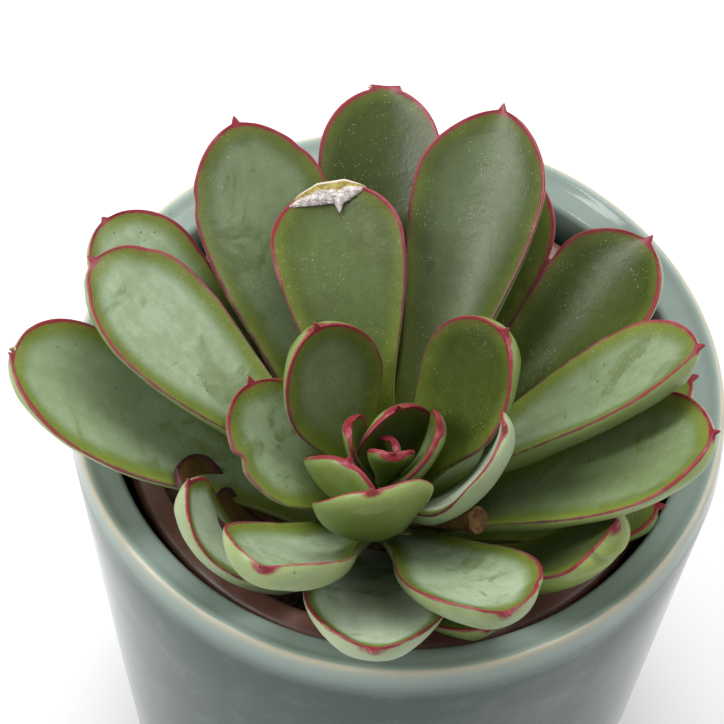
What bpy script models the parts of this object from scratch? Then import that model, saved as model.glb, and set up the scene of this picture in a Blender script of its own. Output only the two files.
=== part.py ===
"""A succulent rosette in its plastic nursery pot, standing in a glazed cover pot.

Metres, +Z up. The origin is the centre of the cover pot's foot. Seen from the
front (looking along +Y) the plant leans out of its soil towards the viewer.
"""
from math import cos, pi, radians, sin, sqrt

import bmesh
import bpy
import numpy as np

MM = 0.001
GAP = 0.3 * MM

# Cover pot: a tapered cup with a thick, inward sloping rim.
POT_HEIGHT = 120.0 * MM
POT_RADIUS = 66.0 * MM
POT_SHOULDER_DROP = 7.4 * MM
POT_MOUTH_RADIUS = 57.9 * MM
POT_MOUTH_DROP = 2.4 * MM
POT_LIP_ROUND = 2.0 * MM
POT_LIP_SET_BACK = 1.0 * MM
POT_TAPER = 0.098
POT_WALL = 7.5 * MM
POT_FLOOR = 9.0 * MM
POT_FOOT_ROUND = 2.5 * MM
POT_SIDES = 56
# Rim from the lip over the crest to the shoulder: radius and level in mm.
POT_RIM = [(62.5, -1.1), (63.8, -0.25), (64.8, 0.0), (65.4, -0.5), (65.75, -2.6)]

# Nursery pot: thin plastic with a folded-down rim band and drain holes.
NURSERY_RIM_RADIUS = 52.5 * MM
NURSERY_TOP = 110.5 * MM
NURSERY_BAND = 9.0 * MM
NURSERY_BAND_STEP = 1.8 * MM
NURSERY_WALL = 1.1 * MM
NURSERY_EDGE = 0.5 * MM
NURSERY_FOOT_RADIUS = 38.0 * MM
NURSERY_SIDES = 40
DRAIN_HOLES = 6
DRAIN_RADIUS = 3.5 * MM
DRAIN_CIRCLE = 26.0 * MM
DRAIN_DEPTH = 8.0 * MM
DRAIN_SIDES = 12

# Soil: fills the nursery pot to a lumpy surface below its rim.
SOIL_TOP = 98.5 * MM
SOIL_LUMP = 1.1 * MM
SOIL_SIDES = 32
SOIL_RINGS = 6

# Stem: stands in the soil and leans forward; radii by height over the cover pot's rim.
STEM_X = -2.0 * MM
STEM_Y = -23.0 * MM
STEM_LEAN = 0.12
STEM_LEAN_FROM = -20.0 * MM
STEM_FOOT = -46.0 * MM
STEM_TOP = 2.3 * MM
STEM_LEVELS = [-46.0 * MM, -20.0 * MM, -10.0 * MM, -4.0 * MM, 2.0 * MM, 7.0 * MM]
STEM_RADII = [6.0 * MM, 7.5 * MM, 7.0 * MM, 5.8 * MM, 3.8 * MM, 1.6 * MM]
STEM_SIDES = 16
STEM_RINGS = 9
STEM_SCAR = 0.15 * MM

# Leaf sections: stations along the blade and points across it.
LEAF_STATIONS = 12
LEAF_ACROSS = 6
STATION_POWER = 1.7
PATH_STEPS = 80
BEND_POWER = 1.3

# Leaf outline: a narrow neck, a long swelling, a domed end and a spine.
LEAF_NECK = 0.40
NECK_POWER = 1.5
DOME_POWER = 2.1
DOME_ROOT = 0.56
SPINE_BASE = 1.45 * MM
SPINE_RUN = 0.03
SPINE_FROM = 0.9

# Leaf section: full thickness a little way along, thinner at the root, the tip and the margins.
LEAF_EDGE = 0.8 * MM
ROOT_THICKNESS = 0.55
ROOT_SWELLING = 2.2
TIP_THINNING = 0.35
END_THINNING = 3.2
END_THICKNESS = 0.15
SECTION_POWER = 2.4
SECTION_ROOT = 0.8
ROOT_CUP = 0.55
CUP_RUN = 0.25
WAVE_POWER = 3


def leaf(azimuth, level, rise, curl, length, width, bend=0, roll=0, cup=25,
         dome=1.15, thick=5.5, spine=1.6, wave=0.0, waves=1.5, root=0.3):
    """One leaf: angles in degrees, sizes in mm, level over the cover pot's rim.

    azimuth turns from +X towards +Y. rise is the slope at the root and curl
    what the slope gains by the tip. bend turns the tip sideways, roll tips the
    blade about its length, cup is how far the margins turn up, and dome is the
    rounded end's length over half the width.
    """
    return {
        "azimuth": radians(azimuth), "level": level * MM, "rise": radians(rise),
        "curl": radians(curl), "length": length * MM, "width": width * MM,
        "bend": radians(bend), "roll": radians(roll), "cup": radians(cup),
        "dome": dome, "thick": thick * MM, "spine": spine * MM,
        "wave": wave * MM, "waves": waves, "root": root * MM,
    }


LEAVES = {
    "lower_leaf_1": leaf(97, -10, 39, -13, 80, 25, bend=-8, roll=-5, cup=26, dome=1.18, spine=0.8),
    "lower_leaf_2": leaf(69, -14, 37, -8, 72, 25, dome=1.18),
    "lower_leaf_3": leaf(25, -13.5, 26, -4, 63, 21, bend=-10, dome=1.1),
    "lower_leaf_4": leaf(-1, -17, 22, -4, 51, 18, roll=-3),
    "lower_leaf_5": leaf(-30, -13, 14, 58, 54.5, 21, bend=28, roll=-20, cup=22, thick=5.5, wave=0.8),
    "lower_leaf_6": leaf(-58, -15.5, 33, -4, 38, 18, bend=6, thick=4.5),
    "lower_leaf_7": leaf(266, -11, 37, -2, 49.5, 28, bend=9, roll=-6, cup=27, thick=5.5, wave=0.4),
    "lower_leaf_8": leaf(233, -12.5, 15, 71, 56.5, 20, bend=-92, roll=24, cup=14, thick=4.8),
    "lower_leaf_9": leaf(176, -14, 32, 8, 80, 29, bend=1, cup=18, dome=1.2, spine=0.8, wave=0.5),
    "lower_leaf_10": leaf(155, -11, 37, -2, 76, 25, bend=-17, roll=3, dome=1.05, spine=0.8),
    "middle_leaf_1": leaf(66, -2, 43, -7, 77, 28, bend=15, roll=-16, cup=28, dome=1.18),
    "middle_leaf_2": leaf(36, -8.5, 33, 5, 71, 26.5, bend=10, roll=-8, cup=27, dome=0.97),
    "middle_leaf_3": leaf(-9, -8.5, 35, 8, 70.5, 28, bend=11, roll=-7, cup=27, dome=1.12),
    "middle_leaf_4": leaf(-61, -5, 39, -4, 53, 27, bend=3, roll=-13, dome=1.17, thick=6),
    "middle_leaf_5": leaf(239, -3.5, 37, 18, 56, 25, bend=6, roll=9, cup=40, dome=0.95, thick=5.5),
    "middle_leaf_6": leaf(163, -3.2, 36.6, -1, 72, 26.5, bend=-12, roll=5, cup=21, dome=1.28),
    "middle_leaf_7": leaf(127, -6.5, 40, -3, 77.5, 28, bend=-15, dome=1.22),
    "upper_leaf_1": leaf(110, -1, 51, -22, 59, 27, bend=-9, roll=-15, cup=29, dome=0.82, spine=0.8),
    "upper_leaf_2": leaf(17, -3, 38, 4, 70, 25.5, bend=-14, roll=-19, cup=27, dome=1.22),
    "upper_leaf_3": leaf(27, 1, 65, 2, 47, 24.5, roll=5, cup=21, dome=1.2),
    "upper_leaf_4": leaf(-33, 0, 47, 40, 45, 20, bend=30, roll=-12, cup=22, dome=1.17, wave=0.5),
    "upper_leaf_5": leaf(266, 0.5, 40, 60, 37, 26, bend=3, roll=16, cup=34, dome=1.1, thick=4.2, wave=0.8),
    "upper_leaf_6": leaf(189, 0.9, 36.5, 6, 35, 27, bend=-72, roll=7, cup=20, dome=1.2, thick=4.2),
    "upper_leaf_7": leaf(144, 2, 63, 9, 40, 23, bend=-14, roll=-3, cup=16, dome=1.3),
}

# Where a leaf presses into the one below it, the lower leaf is cut back clear of the upper.
PRESSED = {
    "lower_leaf_1": ["middle_leaf_2"],
    "lower_leaf_2": ["lower_leaf_3"],
    "lower_leaf_3": ["lower_leaf_5"],
    "lower_leaf_4": ["lower_leaf_5"],
    "lower_leaf_5": ["middle_leaf_3"],
    "lower_leaf_6": ["lower_leaf_5"],
    "lower_leaf_7": ["middle_leaf_4", "middle_leaf_5"],
    "lower_leaf_8": ["lower_leaf_7"],
    "lower_leaf_9": ["lower_leaf_8", "lower_leaf_10"],
    "lower_leaf_10": ["lower_leaf_1"],
    "middle_leaf_1": ["upper_leaf_1", "upper_leaf_2", "upper_leaf_3"],
    "middle_leaf_2": ["middle_leaf_3"],
    "middle_leaf_3": ["middle_leaf_4", "flower_stub"],
    "middle_leaf_4": ["middle_leaf_5", "flower_stub"],
    "middle_leaf_5": ["middle_leaf_6", "upper_leaf_5"],
    "middle_leaf_6": ["upper_leaf_1", "upper_leaf_6"],
    "middle_leaf_7": ["middle_leaf_6"],
    "upper_leaf_1": ["upper_leaf_3"],
    "upper_leaf_2": ["upper_leaf_4"],
    "upper_leaf_3": ["upper_leaf_4"],
    "upper_leaf_4": ["upper_leaf_5"],
    "upper_leaf_5": ["upper_leaf_6"],
    "upper_leaf_6": ["upper_leaf_7"],
    "dry_leaves": ["lower_leaf_8", "lower_leaf_9"],
}

# Leaves whose cut the exact solver gets wrong.
EXACT_FAILS = ["middle_leaf_6"]

HEART_LEAVES = [
    leaf(72, 5, 73, 12, 20, 14, roll=15, cup=23, dome=1.07, thick=3.5, root=-1.6),
    leaf(-8, 4.5, 64, 28, 27, 12, bend=5, roll=3, cup=22, dome=1.1, thick=3.5, root=-1.6),
    leaf(228, 4, 48, 48, 25, 15, roll=5, dome=1.1, thick=3.5, root=-1.6),
    leaf(170, 5, 66, 14, 18, 9, dome=1.1, thick=2.6, spine=1.0, root=-1.6),
    leaf(40, 6.5, 82, 10, 10, 7, cup=40, dome=1.1, thick=2.0, spine=0.9, root=-1.6),
    leaf(285, 6.5, 80, 14, 10, 7, cup=40, dome=1.1, thick=2.0, spine=0.9, root=-1.6),
]
HEART_STATIONS = 8
HEART_ACROSS = 4
HEART_CORE_TOP = 10.0 * MM
HEART_CORE_RADIUS = 3.4 * MM
HEART_CORE_TIP = 1.0 * MM
HEART_CORE_RINGS = 5

DRY_LEAVES = [
    leaf(174, -16.5, 8, 36, 35, 13, cup=34, dome=1.0, thick=1.2, spine=0.6),
    leaf(187, -17.2, 6, 44, 26, 13, cup=34, dome=1.0, thick=1.2, spine=0.6),
    leaf(196, -17.5, 16, 9, 36, 14, roll=6, cup=30, dome=1.0, thick=1.2, spine=0.6),
]

# Stub of a cut flower stalk between two right-hand leaves.
STUB_AZIMUTH = radians(-27)
STUB_LEVEL = -6.0 * MM
STUB_RISE = radians(38)
STUB_LENGTH = 18.0 * MM
STUB_ROOT_RADIUS = 1.6 * MM
STUB_STATIONS = [0.0, 0.35, 0.7, 0.92, 1.0]
STUB_RADII = [STUB_ROOT_RADIUS, 1.35 * MM, 1.5 * MM, 2.0 * MM, 2.3 * MM]
STUB_SIDES = 12


def clear_scene():
    for item in list(bpy.data.objects):
        bpy.data.objects.remove(item, do_unlink=True)


def make_material(name, colour, roughness):
    material = bpy.data.materials.new(name)
    material.use_nodes = True
    shader = material.node_tree.nodes["Principled BSDF"]
    shader.inputs["Base Color"].default_value = (*colour, 1.0)
    shader.inputs["Roughness"].default_value = roughness
    shader.inputs["Metallic"].default_value = 0.0
    return material


def finish(name, mesh_data, material, sharp=50):
    """Turn a bmesh into a smooth-shaded object of that name."""
    bmesh.ops.recalc_face_normals(mesh_data, faces=mesh_data.faces)
    mesh = bpy.data.meshes.new(name)
    mesh_data.to_mesh(mesh)
    mesh_data.free()
    mesh.materials.append(material)
    mesh.shade_smooth()
    mesh.set_sharp_from_angle(angle=radians(sharp))
    item = bpy.data.objects.new(name, mesh)
    bpy.context.scene.collection.objects.link(item)
    return item


def turned(profile, sides):
    """Spin a closed run of (radius, height) points about the Z axis."""
    shape = bmesh.new()
    verts = [shape.verts.new((radius, 0.0, height)) for radius, height in profile]
    edges = [shape.edges.new(pair) for pair in zip(verts, verts[1:])]
    bmesh.ops.spin(shape, geom=verts + edges, cent=(0, 0, 0), axis=(0, 0, 1),
                   angle=2 * pi, steps=sides, use_merge=True)
    bmesh.ops.remove_doubles(shape, verts=shape.verts, dist=0.01 * MM)
    return shape


def arc(centre, radius, start, end, steps):
    """Points of an arc in the (radius, height) plane, angles in degrees."""
    angles = np.radians(np.linspace(start, end, steps + 1))
    return [(centre[0] + radius * cos(a), centre[1] + radius * sin(a)) for a in angles]


def outer_radius(height):
    """Outer wall of the cover pot below its shoulder."""
    shoulder = POT_HEIGHT - POT_SHOULDER_DROP
    return POT_RADIUS - POT_TAPER * (shoulder - height)


def build_cover_pot():
    glaze = make_material("glazed_ceramic", (0.42, 0.50, 0.48), 0.12)
    foot = outer_radius(0.0)
    shoulder = POT_HEIGHT - POT_SHOULDER_DROP
    mouth_level = POT_HEIGHT - POT_MOUTH_DROP
    inner_top = shoulder - POT_WALL
    inner_foot = outer_radius(POT_FLOOR) - POT_WALL
    profile = [(0.0, POT_FLOOR), (inner_foot - POT_WALL, POT_FLOOR)]
    profile += arc((inner_foot - POT_FOOT_ROUND, POT_FLOOR + POT_FOOT_ROUND), POT_FOOT_ROUND, -90, 0, 3)
    profile += [(outer_radius(inner_top) - POT_WALL - POT_LIP_SET_BACK, inner_top)]
    lip_centre = (POT_MOUTH_RADIUS + POT_LIP_ROUND, mouth_level - POT_LIP_ROUND)
    profile += arc(lip_centre, POT_LIP_ROUND, 180, 110, 4)
    profile += [(radius * MM, POT_HEIGHT + level * MM) for radius, level in POT_RIM]
    profile += [(POT_RADIUS, shoulder)]
    profile += [(outer_radius(0.5 * POT_HEIGHT), 0.5 * POT_HEIGHT)]
    profile += arc((foot - POT_FOOT_ROUND, POT_FOOT_ROUND), POT_FOOT_ROUND, 0, -90, 3)
    profile += [(0.0, 0.0)]
    return finish("cover_pot", turned(profile, POT_SIDES), glaze, sharp=60)


def nursery_radius(height):
    """Outer wall of the nursery pot below its rim band."""
    low = POT_FLOOR + GAP
    high = NURSERY_TOP - NURSERY_BAND
    top_radius = NURSERY_RIM_RADIUS - NURSERY_BAND_STEP
    return np.interp(height, [low, high], [NURSERY_FOOT_RADIUS, top_radius])


def build_nursery_pot():
    plastic = make_material("nursery_plastic", (0.16, 0.055, 0.035), 0.45)
    base = POT_FLOOR + GAP
    band = NURSERY_TOP - NURSERY_BAND
    inner_rim = NURSERY_RIM_RADIUS - NURSERY_BAND_STEP - NURSERY_WALL
    profile = [
        (0.0, base + NURSERY_WALL),
        (nursery_radius(base) - NURSERY_WALL, base + NURSERY_WALL),
        (nursery_radius(band) - NURSERY_WALL, band),
        (inner_rim, NURSERY_TOP - NURSERY_EDGE),
        (inner_rim + NURSERY_EDGE, NURSERY_TOP),
        (NURSERY_RIM_RADIUS - NURSERY_EDGE, NURSERY_TOP),
        (NURSERY_RIM_RADIUS, NURSERY_TOP - NURSERY_EDGE),
        (NURSERY_RIM_RADIUS, band + NURSERY_WALL),
        (nursery_radius(band), band),
        (nursery_radius(base), base),
        (0.0, base),
    ]
    pot = finish("nursery_pot", turned(profile, NURSERY_SIDES), plastic)
    for hole in range(DRAIN_HOLES):
        turn = 2 * pi * hole / DRAIN_HOLES
        place = (DRAIN_CIRCLE * cos(turn), DRAIN_CIRCLE * sin(turn), base)
        bpy.ops.mesh.primitive_cylinder_add(vertices=DRAIN_SIDES, radius=DRAIN_RADIUS, depth=DRAIN_DEPTH,
                                            location=place)
        cut_with(pot, bpy.context.object)
    return pot


def cut_with(item, cutter, operation="DIFFERENCE", solver="EXACT"):
    """Apply a Boolean of the cutter to the item and remove the cutter."""
    modifier = item.modifiers.new("cut", "BOOLEAN")
    modifier.operation = operation
    modifier.solver = solver
    modifier.object = cutter
    modifier.use_self = True
    graph = bpy.context.evaluated_depsgraph_get()
    result = bpy.data.meshes.new_from_object(item.evaluated_get(graph))
    item.modifiers.remove(modifier)
    result.name = item.name
    item.data = result
    bpy.data.objects.remove(cutter, do_unlink=True)


def stem_centre(level):
    """Stem axis at a height over the cover pot's rim."""
    lean = STEM_LEAN * max(level - STEM_LEAN_FROM, 0.0)
    return STEM_X, STEM_Y - lean


def stem_radius(level):
    return float(np.interp(level, STEM_LEVELS, STEM_RADII))


def build_soil():
    earth = make_material("soil", (0.035, 0.024, 0.017), 0.95)
    hole_radius = stem_radius(STEM_LEAN_FROM) + GAP
    base = POT_FLOOR + NURSERY_WALL + 2 * GAP
    random = np.random.default_rng(7)
    shape = bmesh.new()
    rings = []
    hole_floor = POT_HEIGHT + STEM_FOOT - GAP
    ring_plan = [(0.0, hole_floor, 0.0)]
    for step in range(SOIL_RINGS + 1):
        ring_plan.append((step / SOIL_RINGS, SOIL_TOP, SOIL_LUMP))
    ring_plan.append((1.0, base, 0.0))
    for blend, height, lump in ring_plan:
        wide = nursery_radius(height) - NURSERY_WALL - GAP
        radius = hole_radius + (wide - hole_radius) * blend
        centre_x = STEM_X * (1 - blend)
        centre_y = STEM_Y * (1 - blend)
        ring = []
        for side in range(SOIL_SIDES):
            turn = 2 * pi * side / SOIL_SIDES
            rough = lump * random.uniform(-1, 1)
            ring.append(shape.verts.new((centre_x + radius * cos(turn), centre_y + radius * sin(turn),
                                         height + rough)))
        rings.append(ring)
    skin(shape, rings)
    shape.faces.new(rings[0])
    shape.faces.new(list(reversed(rings[-1])))
    return finish("soil", shape, earth, sharp=80)


def skin(shape, rings):
    """Join each closed ring of vertices to the next with faces."""
    for first, second in zip(rings, rings[1:]):
        count = len(first)
        for index in range(count):
            after = (index + 1) % count
            shape.faces.new((first[index], first[after], second[after], second[index]))


def build_stem():
    bark = make_material("stem", (0.24, 0.19, 0.10), 0.75)
    random = np.random.default_rng(11)
    shape = bmesh.new()
    rings = []
    for level in np.linspace(STEM_FOOT, STEM_TOP, STEM_RINGS):
        centre_x, centre_y = stem_centre(level)
        radius = stem_radius(level)
        ring = []
        for side in range(STEM_SIDES):
            turn = 2 * pi * side / STEM_SIDES
            rough = radius - STEM_SCAR * random.uniform(0, 1)
            ring.append(shape.verts.new((centre_x + rough * cos(turn), centre_y + rough * sin(turn),
                                         POT_HEIGHT + level)))
        rings.append(ring)
    skin(shape, rings)
    shape.faces.new(list(reversed(rings[0])))
    shape.faces.new(rings[-1])
    return finish("stem", shape, bark, sharp=60)


def leaf_frames(spec, stations, grow=0.0):
    """Points and directions along a leaf: place, across, outward and up vectors."""
    steps = (np.arange(PATH_STEPS) + 0.5) / PATH_STEPS
    slope = spec["rise"] + spec["curl"] * steps ** BEND_POWER
    turn = spec["azimuth"] + spec["bend"] * steps
    heading = np.stack([np.cos(slope) * np.cos(turn), np.cos(slope) * np.sin(turn), np.sin(slope)], -1)
    path = np.concatenate([np.zeros((1, 3)), np.cumsum(heading, 0)]) * spec["length"] / PATH_STEPS
    centre_x, centre_y = stem_centre(spec["level"])
    reach = stem_radius(spec["level"]) + spec["root"] - grow
    path += np.array([centre_x + reach * cos(spec["azimuth"]), centre_y + reach * sin(spec["azimuth"]),
                      POT_HEIGHT + spec["level"]])
    knots = np.linspace(0, 1, PATH_STEPS + 1)
    place = np.stack([np.interp(stations, knots, path[:, axis]) for axis in range(3)], -1)
    slope = spec["rise"] + spec["curl"] * stations ** BEND_POWER
    turn = spec["azimuth"] + spec["bend"] * stations
    along = np.stack([np.cos(slope) * np.cos(turn), np.cos(slope) * np.sin(turn), np.sin(slope)], -1)
    level_side = np.stack([-np.sin(turn), np.cos(turn), np.zeros_like(turn)], -1)
    face_up = np.cross(along, level_side)
    side = level_side * cos(spec["roll"]) + face_up * sin(spec["roll"])
    up = face_up * cos(spec["roll"]) - level_side * sin(spec["roll"])
    return place, side, up


def half_widths(spec, stations):
    """Half the blade's width at each station."""
    half = 0.5 * spec["width"]
    blade = 1 - spec["spine"] / spec["length"]
    widest = 1 - spec["dome"] * half / (spec["length"] * blade)
    reach = np.clip(stations / blade, 0, 1)
    swell = (0.5 - 0.5 * np.cos(pi * np.clip(reach / widest, 0, 1))) ** NECK_POWER
    dome = np.clip((reach - widest) / (1 - widest), 0, 1)
    outline = np.where(reach < widest, LEAF_NECK + (1 - LEAF_NECK) * swell,
                       (1 - dome ** DOME_POWER) ** DOME_ROOT)
    run = spec["spine"] / spec["length"] + SPINE_RUN
    spine = SPINE_BASE * np.clip((1 - stations) / run, 0, 1) ** BEND_POWER
    return np.maximum(half * outline * (reach < 1), spine * (stations > SPINE_FROM))


def leaf_solid(spec, station_count, across_count, grow=0.0):
    """Closed solid of a leaf as a bmesh; grow swells it all round for a cutter."""
    stations = 1 - (1 - np.linspace(0, 1, station_count + 1)) ** STATION_POWER
    place, side, up = leaf_frames(spec, stations, grow)
    half = half_widths(spec, stations)
    cup = spec["cup"] * np.clip(stations / CUP_RUN, ROOT_CUP, 1)
    across = np.sin(0.5 * pi * np.linspace(-1, 1, across_count + 1))
    body = spec["thick"] * (1 - TIP_THINNING * stations ** 2)
    body *= np.clip(ROOT_THICKNESS + ROOT_SWELLING * stations, 0, 1)
    body *= np.clip(END_THINNING * half / spec["width"], END_THICKNESS, 1)
    ripple = spec["wave"] * np.sin(2 * pi * spec["waves"] * stations) * 2 * half / spec["width"]
    shape = bmesh.new()
    rings = []
    for index in range(station_count):
        angle = cup[index] * across
        reach = (half[index] + grow) / cup[index]
        lift = reach * (1 - np.cos(angle)) + ripple[index] * np.abs(across) ** WAVE_POWER * np.sign(across)
        thick = LEAF_EDGE + body[index] * (1 - np.abs(across) ** SECTION_POWER) ** SECTION_ROOT
        top = place[index] + np.outer(reach * np.sin(angle), side[index]) + np.outer(lift, up[index])
        out = np.outer(np.cos(angle), up[index]) - np.outer(np.sin(angle), side[index])
        under = top - out * (thick + grow)[:, None]
        top = top + out * grow
        loop = list(top) + list(reversed(under))
        rings.append([shape.verts.new(point) for point in loop])
    skin(shape, rings)
    root = rings[0]
    for index in range(across_count):
        shape.faces.new((root[index], root[index + 1], root[-index - 2], root[-index - 1]))
    point_step = place[-1] - place[-2]
    tip = shape.verts.new(place[-1] + grow * point_step / np.linalg.norm(point_step))
    end = rings[-1]
    for index, vert in enumerate(end):
        shape.faces.new((vert, end[(index + 1) % len(end)], tip))
    bmesh.ops.triangulate(shape, faces=shape.faces, quad_method="FIXED")
    return shape


def build_leaves():
    for name, spec in LEAVES.items():
        green = make_material(name, (0.20, 0.27, 0.10), 0.42)
        finish(name, leaf_solid(spec, LEAF_STATIONS, LEAF_ACROSS), green)


def press_leaves():
    """Cut each leaf clear of what lies on it, using copies swollen by the gap."""
    for lower, uppers in PRESSED.items():
        item = bpy.data.objects[lower]
        for upper in uppers:
            if upper in LEAVES:
                swollen = leaf_solid(LEAVES[upper], LEAF_STATIONS, LEAF_ACROSS, GAP)
            else:
                swollen = stub_solid(GAP)
            cutter = finish("cutter", swollen, bpy.data.materials[upper])
            cut_with(item, cutter, solver="MANIFOLD" if lower in EXACT_FAILS else "EXACT")
        keep_largest(item)


def keep_largest(item):
    """Drop the slivers that a cut leaves loose."""
    shape = bmesh.new()
    shape.from_mesh(item.data)
    left = set(shape.verts)
    islands = []
    while left:
        island = {left.pop()}
        border = list(island)
        while border:
            vert = border.pop()
            for edge in vert.link_edges:
                other = edge.other_vert(vert)
                if other in left:
                    left.remove(other)
                    island.add(other)
                    border.append(other)
        islands.append(island)
    islands.sort(key=len)
    for island in islands[:-1]:
        bmesh.ops.delete(shape, geom=list(island), context="VERTS")
    shape.to_mesh(item.data)
    shape.free()


def build_dry_leaves():
    """Three withered leaves at the foot of the rosette, fused where they overlap."""
    brown = make_material("dry_leaves", (0.16, 0.07, 0.03), 0.7)
    first, *others = [finish("dry_leaves", leaf_solid(spec, LEAF_STATIONS, LEAF_ACROSS), brown)
                      for spec in DRY_LEAVES]
    for other in others:
        cut_with(first, other, "UNION")


def build_heart():
    """The youngest leaves and the growing point, fused into one body."""
    green = make_material("heart", (0.17, 0.22, 0.07), 0.42)
    core = bmesh.new()
    rings = []
    for blend in np.linspace(0, 1, HEART_CORE_RINGS):
        level = STEM_TOP + GAP + (HEART_CORE_TOP - STEM_TOP - GAP) * blend
        centre_x, centre_y = stem_centre(level)
        radius = HEART_CORE_RADIUS * sqrt(1 - blend) + HEART_CORE_TIP * blend
        ring = []
        for side in range(STEM_SIDES):
            turn = 2 * pi * side / STEM_SIDES
            ring.append(core.verts.new((centre_x + radius * cos(turn), centre_y + radius * sin(turn),
                                        POT_HEIGHT + level)))
        rings.append(ring)
    skin(core, rings)
    core.faces.new(list(reversed(rings[0])))
    core.faces.new(rings[-1])
    heart = finish("heart", core, green)
    for spec in HEART_LEAVES:
        bud = finish("bud", leaf_solid(spec, HEART_STATIONS, HEART_ACROSS), green)
        cut_with(heart, bud, "UNION")
    heart.data.shade_smooth()
    heart.data.set_sharp_from_angle(angle=radians(50))
    return heart


def stub_solid(grow=0.0):
    """Stub of the cut stalk, flared at its end; grow swells it for a cutter."""
    centre_x, centre_y = stem_centre(STUB_LEVEL)
    start = stem_radius(STUB_LEVEL) + GAP + STUB_ROOT_RADIUS * sin(STUB_RISE)
    shape = bmesh.new()
    rings = []
    out = np.array([cos(STUB_AZIMUTH), sin(STUB_AZIMUTH), 0.0])
    side = np.array([-sin(STUB_AZIMUTH), cos(STUB_AZIMUTH), 0.0])
    forward = out * cos(STUB_RISE) + np.array([0.0, 0.0, sin(STUB_RISE)])
    up = np.cross(forward, side)
    foot = np.array([centre_x + start * cos(STUB_AZIMUTH), centre_y + start * sin(STUB_AZIMUTH),
                     POT_HEIGHT + STUB_LEVEL])
    for reach, base_radius in zip(STUB_STATIONS, STUB_RADII):
        ring = []
        for index in range(STUB_SIDES):
            turn = 2 * pi * index / STUB_SIDES
            radius = base_radius + grow
            along = STUB_LENGTH * reach + grow * (2 * reach - 1)
            point = foot + forward * along + radius * (side * cos(turn) + up * sin(turn))
            ring.append(shape.verts.new(point))
        rings.append(ring)
    skin(shape, rings)
    shape.faces.new(list(reversed(rings[0])))
    shape.faces.new(rings[-1])
    return shape


def build_flower_stub():
    straw = make_material("flower_stub", (0.36, 0.20, 0.10), 0.8)
    return finish("flower_stub", stub_solid(), straw)


clear_scene()
build_cover_pot()
build_nursery_pot()
build_soil()
build_stem()
build_leaves()
build_heart()
build_dry_leaves()
build_flower_stub()
press_leaves()
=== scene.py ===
from math import cos, pi, radians, sin

import bmesh
import bpy
import numpy as np
from mathutils import Matrix, Vector


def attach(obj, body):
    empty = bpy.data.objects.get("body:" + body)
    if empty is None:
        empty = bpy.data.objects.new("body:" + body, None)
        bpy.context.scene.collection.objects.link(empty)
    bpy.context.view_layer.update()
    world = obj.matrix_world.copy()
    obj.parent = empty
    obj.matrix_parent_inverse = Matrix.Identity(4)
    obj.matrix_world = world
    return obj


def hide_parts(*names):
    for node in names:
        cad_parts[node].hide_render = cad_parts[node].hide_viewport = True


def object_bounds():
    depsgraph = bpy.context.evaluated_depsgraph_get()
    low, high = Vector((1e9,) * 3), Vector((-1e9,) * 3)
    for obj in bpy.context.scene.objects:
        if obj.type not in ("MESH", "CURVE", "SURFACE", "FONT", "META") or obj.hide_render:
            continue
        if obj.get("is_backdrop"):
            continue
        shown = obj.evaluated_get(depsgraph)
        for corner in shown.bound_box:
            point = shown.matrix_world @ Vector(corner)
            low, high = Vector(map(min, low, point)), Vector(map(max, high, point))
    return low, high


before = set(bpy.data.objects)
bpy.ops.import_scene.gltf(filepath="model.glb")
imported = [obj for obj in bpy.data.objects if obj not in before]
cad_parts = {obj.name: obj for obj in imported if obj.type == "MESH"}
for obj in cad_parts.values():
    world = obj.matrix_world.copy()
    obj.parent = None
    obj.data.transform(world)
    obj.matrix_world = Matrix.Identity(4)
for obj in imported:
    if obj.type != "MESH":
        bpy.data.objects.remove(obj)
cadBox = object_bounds()
mm = 0.001
print("frame loaded")


# Node helpers, for materials and Geometry Nodes alike.
def plug(tree, socket, value):
    if isinstance(value, Wire):
        tree.links.new(value.socket, socket)
    elif isinstance(value, bpy.types.NodeSocket):
        tree.links.new(value, socket)
    else:
        socket.default_value = value


def addNode(tree, kind, settings=None, inputs=None):
    node = tree.nodes.new(kind)
    for name, value in (settings or {}).items():
        setattr(node, name, value)
    for name, value in (inputs or {}).items():
        plug(tree, node.inputs[name], value)
    return node


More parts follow.
